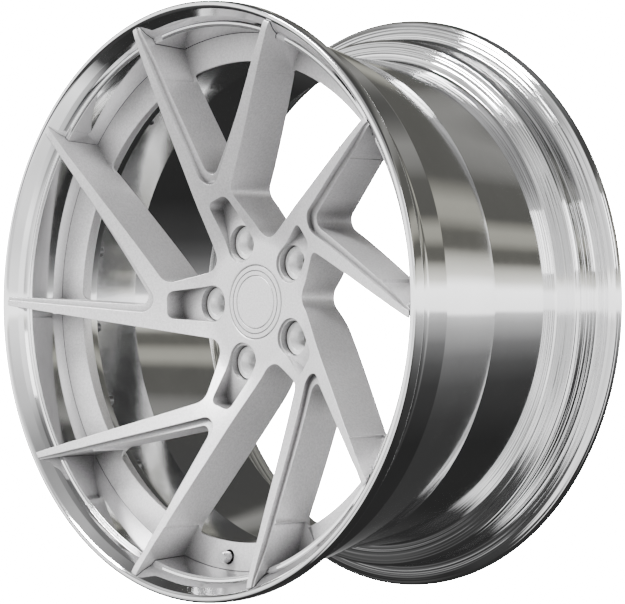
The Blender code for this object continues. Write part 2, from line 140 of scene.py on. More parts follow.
class Finish:
    """A Principled material with its nodes added one at a time."""

    def __init__(self, name, colour, metallic, roughness):
        self.mat = bpy.data.materials.new(name)
        self.mat.use_nodes = True
        self.tree = self.mat.node_tree
        self.shader = self.tree.nodes["Principled BSDF"]
        self.shader.inputs["Metallic"].default_value = metallic
        self.shader.inputs["Base Color"].default_value = (*colour, 1.0)
        self.shader.inputs["Roughness"].default_value = roughness
        self.place = self.tree.nodes.new("ShaderNodeTexCoord").outputs["Object"]

    def node(self, kind, **settings):
        made = self.tree.nodes.new(kind)
        for key, value in settings.items():
            setattr(made, key, value)
        return made

    def link(self, out, into):
        self.tree.links.new(out, into)

    def noise(self, scale, detail=3.0, roughness=0.5, place=None):
        made = self.node("ShaderNodeTexNoise")
        made.inputs["Scale"].default_value = scale
        made.inputs["Detail"].default_value = detail
        made.inputs["Roughness"].default_value = roughness
        self.link(place or self.place, made.inputs["Vector"])
        return made.outputs["Fac"]

    def spread(self, value, low, high, start=0.35, stop=0.65):
        made = self.node("ShaderNodeMapRange")
        made.inputs["From Min"].default_value = start
        made.inputs["From Max"].default_value = stop
        made.inputs["To Min"].default_value = low
        made.inputs["To Max"].default_value = high
        self.link(value, made.inputs["Value"])
        return made.outputs["Result"]

    def blend(self, factor, first, second):
        return mix_colours(self.tree, "MIX", factor, first, second)

    def grain(self, height, strength, distance, edge=0.0):
        bump = self.node("ShaderNodeBump")
        bump.inputs["Strength"].default_value = strength
        bump.inputs["Distance"].default_value = distance
        self.link(height, bump.inputs["Height"])
        if edge:
            bevel = self.node("ShaderNodeBevel", samples=6)
            bevel.inputs["Radius"].default_value = edge
            self.link(bevel.outputs["Normal"], bump.inputs["Normal"])
        self.link(bump.outputs["Normal"], self.shader.inputs["Normal"])
        return bump

    def painted_recess_shade(self, colour, distance, darkest):
        """Paints shade into a colour in recesses, darker where ambient occlusion finds
        nearby surfaces.
        """
        occlusion = self.node("ShaderNodeAmbientOcclusion", samples=8)
        occlusion.inputs["Distance"].default_value = distance
        unshaded_share = self.spread(occlusion.outputs["AO"], darkest, 1.0, 0.25, 0.95)
        return mix_colours(self.tree, "MULTIPLY", 1.0, colour, unshaded_share)

    def turned_marks(self, across, along):
        """Coordinates that run round the wheel's axis, for lathe marks."""
        split = self.node("ShaderNodeSeparateXYZ")
        self.link(self.place, split.inputs["Vector"])
        flat = self.node("ShaderNodeCombineXYZ")
        self.link(split.outputs["X"], flat.inputs["X"])
        self.link(split.outputs["Z"], flat.inputs["Y"])
        length = self.node("ShaderNodeVectorMath", operation="LENGTH")
        self.link(flat.outputs["Vector"], length.inputs[0])
        angle = self.node("ShaderNodeMath", operation="ARCTAN2")
        self.link(split.outputs["Z"], angle.inputs[0])
        self.link(split.outputs["X"], angle.inputs[1])
        wound = self.node("ShaderNodeCombineXYZ")
        for value, socket, factor in ((length.outputs["Value"], "X", across),
                                      (split.outputs["Y"], "Y", across),
                                      (angle.outputs["Value"], "Z", along)):
            scaled_value = self.node("ShaderNodeMath", operation="MULTIPLY")
            self.link(value, scaled_value.inputs[0])
            scaled_value.inputs[1].default_value = factor
            self.link(scaled_value.outputs["Value"], wound.inputs[socket])
        return wound.outputs["Vector"]


def silver_finish(name, tone, metallic, roughness, edge, darkest=0.15):
    """Fine matte silver: metallic flake grain, faint clouding and painted shade in recesses.
    """
    finish = Finish(name, tone, metallic, roughness)
    cloud = finish.noise(scale=9.0, detail=4.0, roughness=0.6)
    flake = finish.noise(scale=FLAKE_SCALE, detail=5.0, roughness=0.8)
    dark = tuple(c * FLAKE_DARK for c in tone)
    light = tuple(min(1.0, c * FLAKE_LIGHT) for c in tone)
    clean = finish.blend(finish.spread(flake, 0.0, 1.0, 0.38, 0.62), dark, light)
    # The base colour is the flake grain with painted shade in the recesses multiplied in.
    finish.link(finish.painted_recess_shade(clean, PAINTED_SHADE_REACH, darkest),
                finish.shader.inputs["Base Color"])
    finish.link(finish.spread(cloud, roughness - 0.04, roughness + 0.05),
                finish.shader.inputs["Roughness"])
    finish.grain(flake, 0.45, 0.00035, edge)
    return finish.mat


def polished_finish(name, tone, roughness, edge, strength, ring_height):
    """Polished alloy with the faint rings a buffing wheel leaves."""
    finish = Finish(name, tone, 1.0, roughness)
    fine = finish.noise(1.0, 3.0, 0.6, finish.turned_marks(900.0, 1.5))
    broad = finish.noise(1.0, 1.0, 0.5, finish.turned_marks(330.0, 0.35))
    depth = finish.node("ShaderNodeSeparateXYZ")
    finish.link(finish.place, depth.inputs["Vector"])
    rings = finish.node("ShaderNodeMath", operation="MULTIPLY")
    finish.link(broad, rings.inputs[0])
    finish.link(finish.spread(depth.outputs["Y"], 0.0, 1.0, LATHE_START, LATHE_FULL),
                rings.inputs[1])
    haze = finish.noise(scale=14.0, detail=5.0, roughness=0.65)
    smear = finish.noise(scale=60.0, detail=3.0, roughness=0.6)
    dark = tuple(c * POLISH_DARK for c in tone)
    finish.link(finish.blend(finish.spread(haze, 0.0, 1.0), dark, tone),
                finish.shader.inputs["Base Color"])
    total = finish.node("ShaderNodeMath", operation="MULTIPLY_ADD")
    finish.link(smear, total.inputs[0])
    total.inputs[1].default_value = 0.5
    finish.link(haze, total.inputs[2])
    finish.link(finish.spread(total.outputs["Value"], roughness * 0.7, roughness * 1.6,
                              0.5, 1.0), finish.shader.inputs["Roughness"])
    lathe = finish.node("ShaderNodeBump")
    lathe.inputs["Strength"].default_value = 1.0
    lathe.inputs["Distance"].default_value = ring_height
    finish.link(rings.outputs["Value"], lathe.inputs["Height"])
    buffed = finish.grain(fine, strength, 0.00004, edge)
    finish.link(buffed.outputs["Normal"], lathe.inputs["Normal"])
    finish.link(lathe.outputs["Normal"], finish.shader.inputs["Normal"])
    return finish.mat


def steel_finish(name, tone, roughness):
    """Turned or plated small steel with a soft stain."""
    finish = Finish(name, tone, 1.0, roughness)
    stain = finish.noise(scale=120.0, detail=4.0, roughness=0.6)
    dark = tuple(c * STAINED for c in tone)
    finish.link(finish.blend(finish.spread(stain, 0.0, 1.0), dark, tone),
                finish.shader.inputs["Base Color"])
    finish.link(finish.spread(stain, roughness * 0.8, roughness * 1.3),
                finish.shader.inputs["Roughness"])
    finish.grain(finish.noise(scale=1800.0), 0.15, 0.00008, SMALL_EDGE)
    return finish.mat


def rubber_finish(name):
    """Dull black rubber with a grey bloom."""
    finish = Finish(name, (0.02, 0.02, 0.02), 0.0, 0.7)
    bloom = finish.noise(scale=200.0, detail=4.0, roughness=0.6)
    finish.link(finish.blend(finish.spread(bloom, 0.0, 1.0), (0.012, 0.012, 0.012),
                             (0.035, 0.034, 0.033)), finish.shader.inputs["Base Color"])
    finish.link(finish.spread(bloom, 0.6, 0.85), finish.shader.inputs["Roughness"])
    finish.grain(finish.noise(scale=1500.0), 0.3, 0.0001)
    return finish.mat


POLISHED = polished_finish("polished_barrel_look", (0.90, 0.90, 0.905), 0.060, 0.0004, 0.03,
                           0.0010)
# The silver looks carry painted shade in recesses down to their darkest share; the seat
# steel's 1.0 leaves it out.
MATTE_SILVER = silver_finish("matte_silver_look", (0.82, 0.81, 0.82), 0.65, 0.40, 0.0006)
SEAT_STEEL = silver_finish("seat_steel_look", (0.90, 0.90, 0.90), 0.45, 0.30, 0.0006, 1.0)
BOLT_STEEL = steel_finish("bolt_steel_look", (0.30, 0.30, 0.31), 0.35)
CAP_SILVER = silver_finish("cap_silver_look", (0.82, 0.81, 0.82), 0.65, 0.38, 0.0001)
BADGE_SILVER = silver_finish("badge_silver_look", (0.84, 0.83, 0.84), 0.65, 0.36, 0.0001)
SPRING_STEEL = steel_finish("spring_steel_look", (0.42, 0.42, 0.43), 0.30)
VALVE_METAL = steel_finish("valve_metal_look", (0.62, 0.62, 0.63), 0.26)
VALVE_BRASS = steel_finish("valve_brass_look", (0.72, 0.55, 0.28), 0.32)
RUBBER = rubber_finish("seal_rubber_look")


# ---- small helpers --------------------------------------------------------------
def depth_to_y(depth):
    return depth - HALF_WIDTH


def polar(radius, degrees):
    angle = math.radians(degrees)
    return radius * math.cos(angle), radius * math.sin(angle)


def turned(point, degrees):
    c = math.cos(math.radians(degrees))
    s = math.sin(math.radians(degrees))
    return point[0] * c - point[1] * s, point[0] * s + point[1] * c


def share(points):
    """Radius and depth as shares of the flange radius to metres."""
    return [(r * FLANGE_R, d * FLANGE_R) for r, d in points]


def new_object(name, mesh, mat, home):
    ob = bpy.data.objects.new(name, mesh)
    home.objects.link(ob)
    mesh.materials.append(mat)
    if home is cutters:
        ob.hide_render = True
        ob.display_type = "WIRE"
    return ob


def frozen(ob):
    """Give the object the mesh that its modifiers make, and drop the modifiers."""
    bpy.context.view_layer.update()
    graph = bpy.context.evaluated_depsgraph_get()
    mesh = bpy.data.meshes.new_from_object(ob.evaluated_get(graph))
    ob.modifiers.clear()
    ob.data = mesh
    return ob


def smooth(ob, degrees=30):
    ob.data.shade_smooth()
    ob.data.set_sharp_from_angle(angle=math.radians(degrees))


def area(points):
    total = 0.0
    for (x0, y0), (x1, y1) in zip(points, points[1:] + points[:1]):
        total += x0 * y1 - x1 * y0
    return total / 2


def revolve(name, profile, mat, home=None, steps=STEPS, closed=True, at=(0.0, 0.0)):
    """Turn a profile of (radius, depth) points about an axis along Y through (x, z)."""
    points = [(r, depth_to_y(d)) for r, d in profile]
    if area(points) > 0:
        points.reverse()
    mesh = bpy.data.meshes.new(name)
    edges = [(i, i + 1) for i in range(len(points) - 1)]
    if closed:
        edges.append((len(points) - 1, 0))
    mesh.from_pydata([(r, y, 0.0) for r, y in points], edges, [])
    ob = new_object(name, mesh, mat, home or collection)
    ob.location = (at[0], 0.0, at[1])
    screw = ob.modifiers.new("turn", "SCREW")
    screw.axis = "Y"
    screw.angle = math.radians(360)
    screw.steps = steps
    screw.render_steps = steps
    screw.use_merge_vertices = True
    screw.merge_threshold = 0.00001
    return ob


def plate(name, outline, depth_from, depth_to):
    """Cutting prism with a flat (x, z) outline, between two depths."""
    points = list(outline)
    if area(points) < 0:
        points.reverse()
    shape = bmesh.new()
    y = depth_to_y(depth_from)
    shape.faces.new([shape.verts.new((x, y, z)) for x, z in points])
    mesh = bpy.data.meshes.new(name)
    shape.to_mesh(mesh)
    shape.free()
    ob = new_object(name, mesh, MATTE_SILVER, cutters)
    solid = ob.modifiers.new("thickness", "SOLIDIFY")
    solid.thickness = depth_to - depth_from
    solid.offset = -1.0
    return ob


def cylinder(name, radius, start, end, sides, home=None, mat=None):
    """Cylinder between two points in space."""
    start = Vector(start)
    end = Vector(end)
    shape = bmesh.new()
    bmesh.ops.create_cone(shape, cap_ends=True, segments=sides, radius1=radius,
                          radius2=radius, depth=(end - start).length)
    turn = (end - start).normalized().to_track_quat("Z", "Y").to_matrix().to_4x4()
    bmesh.ops.transform(shape, matrix=Matrix.Translation((start + end) / 2) @ turn,
                        verts=shape.verts)
    mesh = bpy.data.meshes.new(name)
    shape.to_mesh(mesh)
    shape.free()
    return new_object(name, mesh, mat or MATTE_SILVER, home or cutters)


def joined(name, parts):
    """One cutter from several that don't touch one another."""
    shape = bmesh.new()
    for part in parts:
        frozen(part)
        shape.from_mesh(part.data)
        bpy.data.objects.remove(part, do_unlink=True)
    mesh = bpy.data.meshes.new(name)
    shape.to_mesh(mesh)
    shape.free()
    return new_object(name, mesh, MATTE_SILVER, cutters)


def boolean(ob, other, operation="DIFFERENCE", solver="EXACT"):
    cut = ob.modifiers.new(other.name, "BOOLEAN")
    cut.operation = operation
    cut.solver = solver
    cut.object = other
    return cut


# ---- plan geometry --------------------------------------------------------------
def meet(first, second):
    """Where two (point, heading) lines cross."""
    (px, pz), a = first
    (qx, qz), b = second
    ax, az = polar(1.0, a)
    bx, bz = polar(1.0, b)
    t = ((qx - px) * bz - (qz - pz) * bx) / (ax * bz - az * bx)
    return px + t * ax, pz + t * az


def at_radius(line, radius):
    """Outer crossing of a line with a circle about the axis."""
    (px, pz), heading = line
    ax, az = polar(1.0, heading)
    along = px * ax + pz * az
    root = math.sqrt(along * along - (px * px + pz * pz) + radius * radius)
    return px + (-along - root) * ax, pz + (-along - root) * az


def rounded(points, radii, pieces=12):
    """Polygon with its corners rounded to the given radii."""
    out = []
    count = len(points)
    for i, (corner, radius) in enumerate(zip(points, radii)):
        if radius == 0:
            out.append(corner)
            continue
        here = Vector(corner)
        back = (Vector(points[i - 1]) - here).normalized()
        ahead = (Vector(points[(i + 1) % count]) - here).normalized()
        half = back.angle(ahead) / 2
        start = here + back * radius / math.tan(half)
        end = here + ahead * radius / math.tan(half)
        centre = here + (back + ahead).normalized() * radius / math.sin(half)
        sweep = (start - centre).angle_signed(end - centre)
        for k in range(pieces + 1):
            turn = Matrix.Rotation(-sweep * k / pieces, 2)
            out.append(tuple(centre + turn @ (start - centre)))
    return out


def arc(start, end, radius, step=1.0):
    """Points along a circle about the axis, without its two ends."""
    a = math.degrees(math.atan2(start[1], start[0]))
    b = math.degrees(math.atan2(end[1], end[0]))
    b = a + (b - a + 180) % 360 - 180
    count = max(2, round(abs(b - a) / step))
    return [polar(radius, a + (b - a) * k / count) for k in range(1, count)]


def scaled(points):
    return [(x * FLANGE_R, z * FLANGE_R) for x, z in points]


def window_outline(side_a, side_b, corners, corner_radii, outer, outer_radius):
    """Window from its hub corners out to a circle, with rounded ends."""
    first = at_radius(side_a, outer)
    last = at_radius(side_b, outer)
    bow = arc(first, last, outer)
    points = corners + [first] + bow + [last]
    radii = corner_radii + [outer_radius] + [0] * len(bow) + [outer_radius]
    return rounded(scaled(points), radii)


def around(outline, count=5):
    return [[turned(p, 360 / count * k) for p in outline] for k in range(count)]


def wedge(side_a, side_b, inner, outer=1.06, spread=0.0001):
    """Four-sided outline between two arms, a hair wider than the arms' walls."""
    corners = [at_radius(side_a, inner), at_radius(side_a, outer),
               at_radius(side_b, outer), at_radius(side_b, inner)]
    points = [Vector(p) for p in scaled(corners)]
    across = [(points[0] - points[3]).normalized(), (points[1] - points[2]).normalized()]
    points[0] += across[0] * spread
    points[3] -= across[0] * spread
    points[1] += across[1] * spread
    points[2] -= across[1] * spread
    return [tuple(p) for p in points]


def pocket_outline(angle):
    """Rounded four-sided outline round a lug hole, widest at the hub's middle."""
    corners = [(0.0968, 0.0120), (0.0968, -0.0120), (0.0385, -0.0180), (0.0385, 0.0180)]
    return rounded([turned(corner, angle) for corner in corners],
                   [0.0070, 0.0070, 0.0150, 0.0150])


def pipe(name, path, radius, home, mat):
    """Round bar along a path, closed at both ends."""
    curve = bpy.data.curves.new(name, "CURVE")
    curve.dimensions = "3D"
    curve.bevel_depth = radius
    curve.bevel_resolution = 6
    curve.use_fill_caps = True
    line = curve.splines.new("POLY")
    line.points.add(len(path) - 1)
    for point, place in zip(line.points, path):
        point.co = (*place, 1.0)
    source = bpy.data.objects.new(name + "_path", curve)
    cutters.objects.link(source)
    bpy.context.view_layer.update()
    mesh = bpy.data.meshes.new_from_object(source.evaluated_get(
        bpy.context.evaluated_depsgraph_get()))
    bpy.data.objects.remove(source, do_unlink=True)
    shape = bmesh.new()
    shape.from_mesh(mesh)
    bmesh.ops.remove_doubles(shape, verts=shape.verts, dist=0.00001)
    bmesh.ops.recalc_face_normals(shape, faces=shape.faces)
    shape.to_mesh(mesh)
    shape.free()
    mesh.materials.clear()
    return new_object(name, mesh, mat, home)


SHARP_BEND = 35.0         # corners sharper than this many degrees stay crisp
SHARP_REACH = 0.0006


def eased(points, share_of_side=0.42, largest=0.012, pieces=5):
    """Section with every corner eased by a short curve, so that it catches light."""
    out = []
    count = len(points)
    for i, corner in enumerate(points):
        here = Vector(corner)
        back = Vector(points[i - 1]) - here
        ahead = Vector(points[(i + 1) % count]) - here
        bend = math.pi - back.angle(ahead)
        reach = min(largest, share_of_side * min(back.length, ahead.length))
        if bend > math.radians(SHARP_BEND):
            reach = min(reach, SHARP_REACH)
        if bend < math.radians(2):
            out.append(corner)
            continue
        start = here + back.normalized() * reach
        end = here + ahead.normalized() * reach
        for k in range(pieces + 1):
            t = k / pieces
            out.append(tuple(start * (1 - t) ** 2 + here * 2 * t * (1 - t) + end * t * t))
    return out


# ---- barrel ---------------------------------------------------------------------
# Section of the barrel, radius and depth, from the street-side lip round the tyre
# side to the rear flange and back along the inside.
BARREL_SECTION = share([
    (0.9840, 0.0000), (0.9940, 0.0000), (0.9990, 0.0050), (1.0000, 0.0110),
    (1.0000, 0.0420), (0.9965, 0.0465), (0.9720, 0.0490), (0.9560, 0.0560),
    (0.9420, 0.0690), (0.9310, 0.0850), (0.9215, 0.1170), (0.9255, 0.1290),
    (0.9255, 0.1390), (0.9225, 0.1500), (0.9230, 0.2335), (0.8550, 0.5390),
    (0.8470, 0.8460), (0.8520, 0.8530), (0.9170, 0.8670), (0.9265, 0.8820),
    (0.9195, 0.8980), (0.9250, 0.9600), (0.9330, 0.9690), (0.9520, 0.9725),
    (0.9760, 0.9785), (0.9930, 0.9880), (1.0000, 1.0000), (1.0000, 1.0120),
    (0.9960, 1.0175), (0.9880, 1.0184),
    (0.9180, 1.0184), (0.9050, 1.0080), (0.8930, 0.9150), (0.8200, 0.8320),
    (0.8400, 0.4900), (0.8905, 0.3120), (0.8890, FLANGE_REAR), (0.8395, FLANGE_REAR),
    (0.8395, RING_REAR + 0.0012), (0.8925, RING_REAR + 0.0012), (0.9038, 0.2280),
    (0.9168, 0.0670), (0.9243, 0.0655), (0.9243, 0.0625), (0.9333, 0.0620),
    (0.9400, 0.0485), (0.9500, 0.0325), (0.9666, 0.0140), (0.9735, 0.0060),
    (0.9796, 0.0015),
])
barrel = revolve("barrel_shell", eased(BARREL_SECTION, largest=0.0005), POLISHED)

# ---- centre: blank turned to the dish shape ---------------------------------------
CAP_SEAT = HUB_FACE + 0.022 / FLANGE_R
FRONT_FACE = [
    (0.215, HUB_FACE), (0.255, 0.2710), (0.400, 0.2030), (0.550, 0.1460),
    (0.700, 0.0895), (0.850, 0.0360), (0.950, 0.0040), (0.9700, 0.0012),
]
CENTRE_SECTION = share(
    [(CAP_BORE / FLANGE_R, HUB_FACE + 0.003), (0.1285, HUB_FACE)] + FRONT_FACE + [
        (0.9730, 0.0042), (0.9657, 0.0130), (0.9490, 0.0316), (0.9389, 0.0478),
        (0.9321, 0.0605), (0.9230, 0.0610),
        (0.9230, 0.0640), (0.9156, 0.0652), (0.9027, 0.2270), (0.8912, RING_REAR),
        (0.8380, RING_REAR), (0.8080, 0.2160),
        (0.7940, 0.2330), (0.4350, 0.3780), (0.2950, HUB_REAR),
    ]) + [
    (HUB_BORE, HUB_REAR * FLANGE_R),
    (HUB_BORE, CAP_SEAT * FLANGE_R + 0.0035),
    (RIB_BORE, CAP_SEAT * FLANGE_R + 0.0035),
    (RIB_BORE, CAP_SEAT * FLANGE_R),
    (CAP_BORE, CAP_SEAT * FLANGE_R),
]
centre = revolve("forged_centre", eased(CENTRE_SECTION), MATTE_SILVER)

# Spoke plan of one pair, named as the real windows: the V window lies inside the
# pair, the plain window between one pair and the next.
short_arm_next = (turned(SHORT_ARM_OUTER[0], -72), SHORT_ARM_OUTER[1] - 72)
plain_corners = [meet(LONG_ARM_OUTER, HUB_EDGE), meet(HUB_EDGE, short_arm_next)]
v_corner = meet(LONG_ARM_LEDGE, SHORT_ARM_LEDGE)
ledge_corner = meet(LONG_ARM_INNER, SHORT_ARM_INNER)

plain_window = window_outline(
    LONG_ARM_OUTER, short_arm_next, plain_corners[::-1], [0.014, 0.012], RING_BORE, 0.008)
v_window = window_outline(
    LONG_ARM_LEDGE, SHORT_ARM_LEDGE, [v_corner], [0.008], RING_BORE, 0.008)

# The window walls run straight on above the ring, where each pocket's floor is the
# ring's front face.
ring_fall = (RING_FACE_IN - RING_FACE_OUT) / (0.9055 - RING_BORE)
above_ring = revolve("above_ring", share([
    (0.780, -0.030), (1.080, -0.030),
    (1.080, RING_FACE_IN - (1.080 - RING_BORE) * ring_fall),
    (0.780, RING_FACE_IN + (RING_BORE - 0.780) * ring_fall)]),
    MATTE_SILVER, cutters)
wedges = []
for k in range(5):
    for side_a, side_b in ((LONG_ARM_OUTER, short_arm_next),
                           (LONG_ARM_LEDGE, SHORT_ARM_LEDGE)):
        turned_a = (turned(side_a[0], 72 * k), side_a[1] + 72 * k)
        turned_b = (turned(side_b[0], 72 * k), side_b[1] + 72 * k)
        wedges.append(plate("wedge", wedge(turned_a, turned_b, 0.790),
                            -0.040 * FLANGE_R, 0.250 * FLANGE_R))
wedge_block = joined("wedge_block", wedges)
boolean(above_ring, wedge_block, "INTERSECT")

# Shallow step that runs round the inside of each V, a few millimetres below the
# arms' front faces.
LEDGE_DROP = 0.020
ledge_floor = [(r, d + LEDGE_DROP * min(1.0, (1.02 - r) / 0.17)) for r, d in FRONT_FACE]
ledge_space = revolve("ledge_space", share(
    [(0.200, -0.030)] + [(0.200, HUB_FACE + LEDGE_DROP)] + ledge_floor
    + [(1.080, 0.006), (1.080, -0.030)]), MATTE_SILVER, cutters)
ledge_plan = rounded(scaled([
    ledge_corner, at_radius(LONG_ARM_INNER, 1.060), at_radius(SHORT_ARM_INNER, 1.060)]),
    [0.012, 0, 0])
ledge_block = joined("ledge_block", [
    plate("ledge", outline, -0.040 * FLANGE_R, 0.400 * FLANGE_R)
    for outline in around(ledge_plan)])
boolean(ledge_space, ledge_block, "INTERSECT")

window_block = joined("window_block", [
    plate("window", outline, -0.040 * FLANGE_R, 0.500 * FLANGE_R)
    for outline in around(plain_window) + around(v_window)])

# Lug pockets: flat floors just under the hub face that run out into the rising arms.
POCKET_FLOOR = 0.289
SEAT_TOP = 0.313 * FLANGE_R
lug_places = [polar(LUG_CIRCLE, LUG_ANGLE + 72 * k) for k in range(5)]
pocket_plan = pocket_outline(LUG_ANGLE + 144)
pocket_block = joined("pocket_block", [
    plate("pocket", outline, 0.100 * FLANGE_R, POCKET_FLOOR * FLANGE_R)
    for outline in around(pocket_plan)])


def drilled(name, places, radius, depth_from, depth_to, sides):
    """Round holes along the wheel's axis, as one cutter."""
    return joined(name, [
        cylinder("hole", radius, (x, depth_to_y(depth_from), z),
                 (x, depth_to_y(depth_to), z), sides) for x, z in places])


LUG_CUT_FROM = 0.070      # in front of the pockets' floors
LUG_CUT_TO = 0.120        # behind the mounting face
lug_recess = drilled("lug_recess", lug_places, radius=0.0155, depth_from=LUG_CUT_FROM,
                     depth_to=SEAT_TOP + 0.0033, sides=64)
lug_sleeve = drilled("lug_sleeve", lug_places, radius=0.0115, depth_from=LUG_CUT_FROM,
                     depth_to=SEAT_TOP + 0.0153, sides=64)
lug_bore = drilled("lug_bore", lug_places, radius=0.0080, depth_from=LUG_CUT_FROM,
                   depth_to=LUG_CUT_TO, sides=48)

bolt_places = [polar(BOLT_CIRCLE, BOLT_FIRST + 360 / BOLT_COUNT * k)
               for k in range(BOLT_COUNT)]
bolt_sockets = drilled("bolt_sockets", bolt_places, radius=0.0042, depth_from=0.0588,
                       depth_to=0.0780, sides=24)
bolt_ways = drilled("bolt_ways", bolt_places, radius=0.0043, depth_from=0.0700,
                    depth_to=0.0850, sides=24)


def valve_point(radius, depth):
    x, z = polar(radius, VALVE_ANGLE)
    return x, depth_to_y(depth), z


def radial_cutter(name, radius, start, end):
    """Cylinder along the valve hole's axis, between two distances from the wheel's."""
    return cylinder(name, radius, valve_point(start, VALVE_DEPTH),
                    valve_point(end, VALVE_DEPTH), ROUND_SIDES)


valve_pocket = radial_cutter("valve_pocket", 0.0074, 0.2250, 0.2450)
valve_hole = radial_cutter("valve_hole", VALVE_HOLE_R, 0.2200, 0.2500)
valve_flat = radial_cutter("valve_flat", 0.0080, 0.2390, 0.2500)
nut_flat = radial_cutter("nut_flat", 0.0076, 0.2290, 0.2356)
valve_way = cylinder("valve_way", 0.0065, valve_point(VALVE_R, 0.0300),
                     valve_point(VALVE_R, 0.0673), ROUND_SIDES)

# The exact solver leaves open edges where the arms' thin steps cross the turned
# facets; every body here is closed, so these cuts use the manifold solver.
boolean(centre, ledge_space)
for cutter in (window_block, above_ring, pocket_block, lug_recess, lug_sleeve,
               lug_bore, bolt_sockets, valve_pocket, valve_way):
    boolean(centre, cutter, solver="MANIFOLD")
smooth(frozen(centre))

for cutter in (bolt_ways, valve_flat, nut_flat, valve_hole):
    boolean(barrel, cutter)
smooth(frozen(barrel))

# ---- assembly bolts ---------------------------------------------------------------
BOLT_SEAT = FLANGE_REAR * FLANGE_R + GAP
BOLT_SECTION = [
    (0.0, 0.0597), (BOLT_SHANK, 0.0597), (BOLT_SHANK, BOLT_SEAT), (0.0055, BOLT_SEAT),
    (0.0055, BOLT_SEAT + 0.0012), (0.0044, BOLT_SEAT + 0.0012),
    (0.0044, BOLT_SEAT + 0.0062), (0.0, BOLT_SEAT + 0.0062),
]
for number, place in enumerate(bolt_places, 1):
    bolt = revolve(f"ring_bolt_{number:02d}", BOLT_SECTION, BOLT_STEEL, steps=24,
                   closed=False, at=place)
    smooth(frozen(bolt))

# ---- lug seat inserts -------------------------------------------------------------
SEAT_SECTION = [
    (0.0107, SEAT_TOP), (0.0145, SEAT_TOP), (0.0151, SEAT_TOP + 0.0008),
    (0.0151, SEAT_TOP + 0.0030),
    (0.0110, SEAT_TOP + 0.0030), (0.0110, SEAT_TOP + 0.0150),
    (0.0078, SEAT_TOP + 0.0150), (0.0078, SEAT_TOP + 0.0056),
]
for number, place in enumerate(lug_places, 1):
    seat = revolve(f"seat_cone_{number}", SEAT_SECTION, SEAT_STEEL, steps=72, at=place)
    smooth(frozen(seat))

# ---- centre cap -------------------------------------------------------------------
CAP_FACE = HUB_FACE * FLANGE_R
cap_section = [
    (0.0, 0.0015), (0.0236, 0.0015), (0.0236, 0.0005), (0.0241, 0.0), (0.0274, 0.0),
    (0.0277, 0.0009), (0.0281, 0.0009), (0.0284, 0.0), (0.0318, 0.0),
    (0.0324, 0.0007), (0.0324, 0.0120), (0.0295, 0.0135), (0.0295, 0.0258),
    (0.0284, 0.0260), (0.0284, 0.0281), (0.0295, 0.0283), (0.0291, 0.0300),
    (0.0272, 0.0300), (0.0272, 0.0045), (0.0, 0.0045),
]
cap = revolve("cap_shell", [(r, CAP_FACE + d) for r, d in cap_section], CAP_SILVER,
              steps=144, closed=False)
smooth(frozen(cap))
badge_section = [(0.0, 0.0001), (0.0227, 0.0001), (0.0233, 0.0006), (0.0233, 0.0012),
                 (0.0, 0.0012)]
badge = revolve("cap_blank", [(r, CAP_FACE + d) for r, d in badge_section],
                BADGE_SILVER, steps=144, closed=False)
smooth(frozen(badge))
ring_section = [(0.0288, 0.0264), (0.0297, 0.0264), (0.0299, 0.0271),
                (0.0297, 0.0278), (0.0288, 0.0278)]
spring_ring = revolve("cap_wire", [(r, CAP_FACE + d) for r, d in ring_section],
                      SPRING_STEEL, steps=144)
smooth(frozen(spring_ring))

# ---- valve ------------------------------------------------------------------------
BEND = 0.0045
STEM_TIP = 0.0473
path = [valve_point(0.2433, VALVE_DEPTH), valve_point(VALVE_R + BEND, VALVE_DEPTH)]
for k in range(1, 7):
    angle = math.radians(90 * k / 6)
    path.append(valve_point(VALVE_R + BEND * (1 - math.sin(angle)),
                            VALVE_DEPTH - BEND * (1 - math.cos(angle))))
path.append(valve_point(VALVE_R, STEM_TIP))
stem = pipe("stem_tube", path, 0.0039, collection, VALVE_METAL)
stem_foot = cylinder("stem_foot", 0.0068, valve_point(0.2413, VALVE_DEPTH),
                     valve_point(0.2433, VALVE_DEPTH), ROUND_SIDES)
OVERRUN = 0.002           # the air way's cutter runs past both ends of the stem
before = Vector(path[0]) + (Vector(path[0]) - Vector(path[1])).normalized() * OVERRUN
after = Vector(path[-1]) + (Vector(path[-1]) - Vector(path[-2])).normalized() * OVERRUN
air_way = pipe("air_way", [tuple(before)] + path[1:-1] + [tuple(after)], 0.0019,
               cutters, VALVE_METAL)
boolean(stem, stem_foot, "UNION")
boolean(stem, air_way)
smooth(frozen(stem))

nut = cylinder("stem_nut", 0.0066, valve_point(0.2325, VALVE_DEPTH),
               valve_point(0.2353, VALVE_DEPTH), 6, collection, VALVE_METAL)
boolean(nut, radial_cutter("nut_hole", VALVE_HOLE_R, 0.2250, 0.2400))
smooth(frozen(nut))

seal = cylinder("stem_grommet", 0.0072, valve_point(0.2393, VALVE_DEPTH),
                valve_point(0.2410, VALVE_DEPTH), 24, collection, RUBBER)
boolean(seal, radial_cutter("seal_hole", VALVE_HOLE_R, 0.2350, 0.2450))
smooth(frozen(seal))

valve_place = polar(VALVE_R, VALVE_ANGLE)
core = revolve("core_body", [
    (0.00075, 0.0477), (0.0015, 0.0477), (0.0015, 0.0560), (0.00075, 0.0560)],
    VALVE_BRASS, steps=32, at=valve_place)
smooth(frozen(core))
pin = revolve("core_pin_turned", [
    (0.0, 0.0467), (0.00045, 0.0467), (0.00045, 0.0563), (0.0011, 0.0563),
    (0.0011, 0.0572), (0.0, 0.0572)],
    VALVE_BRASS, steps=32, closed=False, at=valve_place)
smooth(frozen(pin))
valve_cap = revolve("dust_cap_turned", [
    (0.0, 0.0445), (0.0044, 0.0445), (0.0051, 0.0452), (0.0051, 0.0530),
    (0.00425, 0.0530), (0.00425, 0.0462), (0.0, 0.0462)],
    VALVE_METAL, steps=48, closed=False, at=valve_place)
smooth(frozen(valve_cap))

